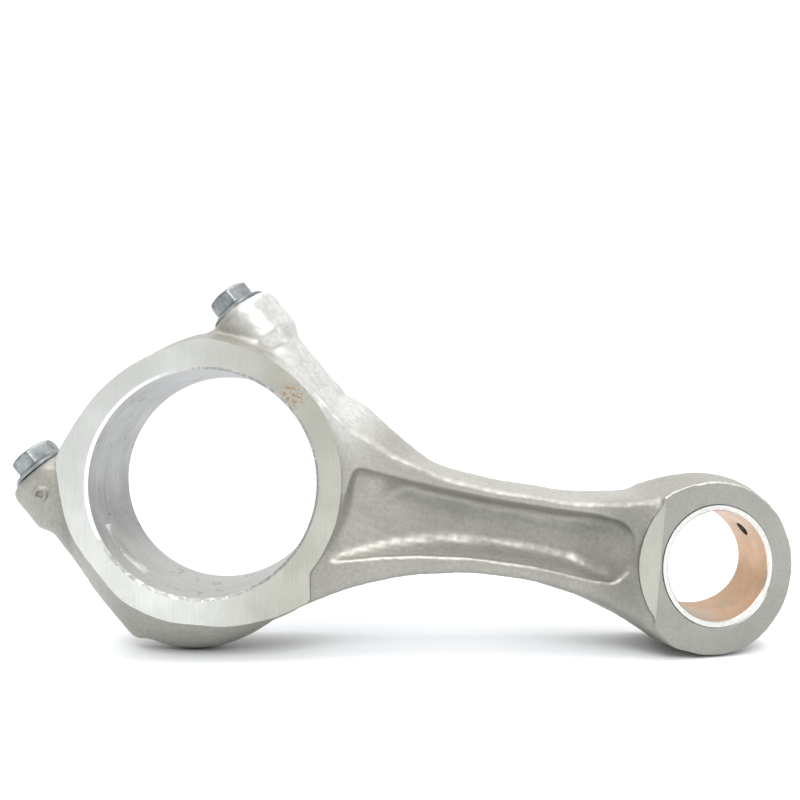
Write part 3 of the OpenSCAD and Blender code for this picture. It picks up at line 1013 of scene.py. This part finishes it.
def make_bolt(name, side):
    """A flange bolt: thread, waisted shank with a fitted collar, dished flange and chamfered hexagon."""
    thread_low, thread_high = -BOLT_LEN + 0.8, -BOLT_LEN + 15.5
    waist = BOLT_R - 0.75
    collar = -SEAT_N
    flat = HEX_AF / 2
    corner = HEX_AF / math.sqrt(3) - 0.14
    rows = [(0, -BOLT_LEN), (BOLT_R - 1.1, -BOLT_LEN)]
    rows += bolt_thread(thread_low, thread_high)
    # The shank, whose collar centres the cap on the split plane.
    rows += [(waist, thread_high + 0.3), (waist, collar - 4.8), (BOLT_R, collar - 4)]
    rows += [(BOLT_R, collar + 4), (waist, collar + 4.8), (waist, -5.6)]
    rows += [(BOLT_R - 0.1, -4.6), (BOLT_R - 0.1, -0.4), (BOLT_R + 0.2, -0.05)]
    # The flange, dished down to the hexagon.
    rows += [(FLANGE_R - 0.5, 0.0), (FLANGE_R - 0.1, 0.12), (FLANGE_R, 0.4), (FLANGE_R, 0.95)]
    rows += [(FLANGE_R - 0.25, 1.25), (8.9, 1.75), (8.35, 2.05), (8.08, 2.3)]
    # The hexagon, chamfered above, with a shallow recess in its end.
    rows += [(hex_radius(flat, corner), h) for h in (2.65, 3.2, 5.2, 6.3)]
    rows += [(hex_radius(flat, 7.96), 6.75), (hex_radius(flat - 0.05, 7.45), 7.2)]
    rows += [(hex_radius(flat - 0.25, 6.85), 7.55), (6.45, 7.74), (6.0, HEAD_H)]
    rows += [(4.6, HEAD_H), (4.2, HEAD_H - 0.25), (0, HEAD_H - 0.32)]
    # The hexagons happen to stand at these angles in the photo.
    turn = Matrix.Rotation(math.radians(10 if side > 0 else 12), 4, "Z")
    place = TO_SPLIT @ Matrix.Translation((side * BOLT_U, 0, SEAT_N)) @ turn
    bolt = lathe(name, rows, 96, place)
    finish_mesh(bolt, [BOLT_STEEL], lambda c, n: np.zeros(len(c)), BOLT_SHARP_ANGLE)
    return bolt


def make_sleeve(name, r_out, r_in, material, cuts=()):
    """A layer of the bush, whose end faces are machined bright on both layers."""
    end = HALF_W + 1
    profile = [(r_in, -end), (r_out, -end), (r_out, end), (r_in, end)]
    sleeve = lathe(name, profile, 192, along_y(EYE_X), ring=True)
    machined(sleeve, wedge_cutters() + [oil_cutter(), *cuts])
    finish_mesh(sleeve, [material, BUSH_STEEL], lambda c, n: (np.abs(n[:, 1]) > 0.5) * 1)
    return sleeve


rod = make_rod()
cap = make_cap()
bolt_upper = make_bolt("bolt_upper_steel", 1)
bolt_lower = make_bolt("bolt_lower_steel", -1)
back = make_sleeve("bush_back_steel", BUSH_R - 0.02, LINING_R + 0.01, BUSH_STEEL)
lining = make_sleeve("bush_lining_bronze", LINING_R - 0.01, PIN_R, BRONZE, rim_cutters(PIN_R, 0.3))

for piece, body, node, slot in (
    (rod, "rod", "rod_body", "forged_steel"),
    (cap, "cap", "bearing_cap", "forged_steel"),
    (bolt_upper, "bolt_upper", "cap_bolt_upper", "bolt_steel"),
    (bolt_lower, "bolt_lower", "cap_bolt_lower", "bolt_steel"),
    (back, "rod", "bush_back", "bush_steel"),
    (lining, "rod", "bush_lining", "bush_bronze"),
):
    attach(piece, body)
    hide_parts(node)

# ---------------------------------------------------------------- table, light and camera
floor_z = cad_bounds[0][2]
MIDDLE = Vector((0.05, 0, 0))


def make_floor():
    """The pale matt table that the rod stands on, in metres like all that follows."""
    bm = bmesh.new()
    reach = 3.0
    corners = (-reach, -reach), (reach, -reach), (reach, reach), (-reach, reach)
    bm.faces.new([bm.verts.new((x, y, floor_z)) for x, y in corners])
    floor = from_bmesh("floor", bm)
    m = Nodes("table")
    tone = m.noise(0.01, 2)
    colour = m.ramp(tone, (0.3, (0.90, 0.92, 0.95)), (0.7, (0.93, 0.94, 0.96)))
    rough = m.ramp(tone, (0.3, 0.95), (0.7, 0.85))
    m.finish(colour, rough, m.bump(m.noise(0.5, 2), 0.02, 0.05), 0.0)
    m.bsdf.inputs["Specular IOR Level"].default_value = 0.1
    floor.data.materials.append(m.mat)


def area_light(name, location, size, power):
    """A white area light of size (width, height), turned to the middle of the rod."""
    data = bpy.data.lights.new(name, "AREA")
    data.shape = "RECTANGLE"
    data.size, data.size_y = size
    data.energy = power
    light = bpy.data.objects.new(name, data)
    light.location = location
    light.rotation_euler = (MIDDLE - Vector(location)).to_track_quat("-Z", "Y").to_euler()
    bpy.context.scene.collection.objects.link(light)


def make_world():
    """A white studio, bright above and behind, which gives little light from the front."""
    world = bpy.data.worlds.new("studio")
    world.use_nodes = True
    tree = world.node_tree
    tree.nodes.clear()
    out = tree.nodes.new("ShaderNodeOutputWorld")
    background = tree.nodes.new("ShaderNodeBackground")
    coord = tree.nodes.new("ShaderNodeTexCoord")
    direction = tree.nodes.new("ShaderNodeSeparateXYZ")
    tree.links.new(coord.outputs["Generated"], direction.inputs[0])
    total = tree.nodes.new("ShaderNodeMath")
    # Light by direction along Y and up Z: the input's range, and what it gives at its two ends.
    for slot, (axis, low, high, at_low, at_high) in enumerate(
        (("Y", -0.6, 0.5, 0.2, 1.05), ("Z", 0.35, 1.0, 0.0, 0.7))
    ):
        part = tree.nodes.new("ShaderNodeMapRange")
        part.inputs["From Min"].default_value = low
        part.inputs["From Max"].default_value = high
        part.inputs["To Min"].default_value = at_low
        part.inputs["To Max"].default_value = at_high
        tree.links.new(direction.outputs[axis], part.inputs["Value"])
        tree.links.new(part.outputs[0], total.inputs[slot])
    # What the camera sees of it is pale on every side.
    rays = tree.nodes.new("ShaderNodeLightPath")
    shown = tree.nodes.new("ShaderNodeMath")
    shown.operation = "MAXIMUM"
    tree.links.new(total.outputs[0], shown.inputs[0])
    tree.links.new(rays.outputs["Is Camera Ray"], shown.inputs[1])
    tree.links.new(shown.outputs[0], background.inputs["Strength"])
    background.inputs["Color"].default_value = (1, 1, 1, 1)
    tree.links.new(background.outputs[0], out.inputs[0])
    bpy.context.scene.world = world


make_floor()
make_world()
area_light("key", (0.05, -0.74, 0.64), (0.6, 0.4), 6.3)
area_light("right", (0.75, -0.35, 0.25), (0.3, 0.4), 0.8)

# A very soft sun, almost straight above.
sun = bpy.data.objects.new("sun", bpy.data.lights.new("sun", "SUN"))
sun.data.energy = 1.1
sun.data.angle = math.radians(50)
sun.rotation_euler = (math.radians(8), math.radians(-6), 0)
bpy.context.scene.collection.objects.link(sun)

# The camera fitted to the rims of the bores and faces in the photo. Angles in degrees.
camera = bpy.data.objects.new("camera", bpy.data.cameras.new("camera"))
camera.data.lens = 32.9445
camera.data.sensor_width = 36
camera.location = (0.06090128, -0.25406623, 0.01670776)
camera.rotation_euler = tuple(math.radians(a) for a in (92.41, 0, -0.58))
camera.data.clip_start = 0.01
bpy.context.scene.collection.objects.link(camera)
bpy.context.scene.camera = camera
bpy.context.scene.view_settings.view_transform = "Standard"
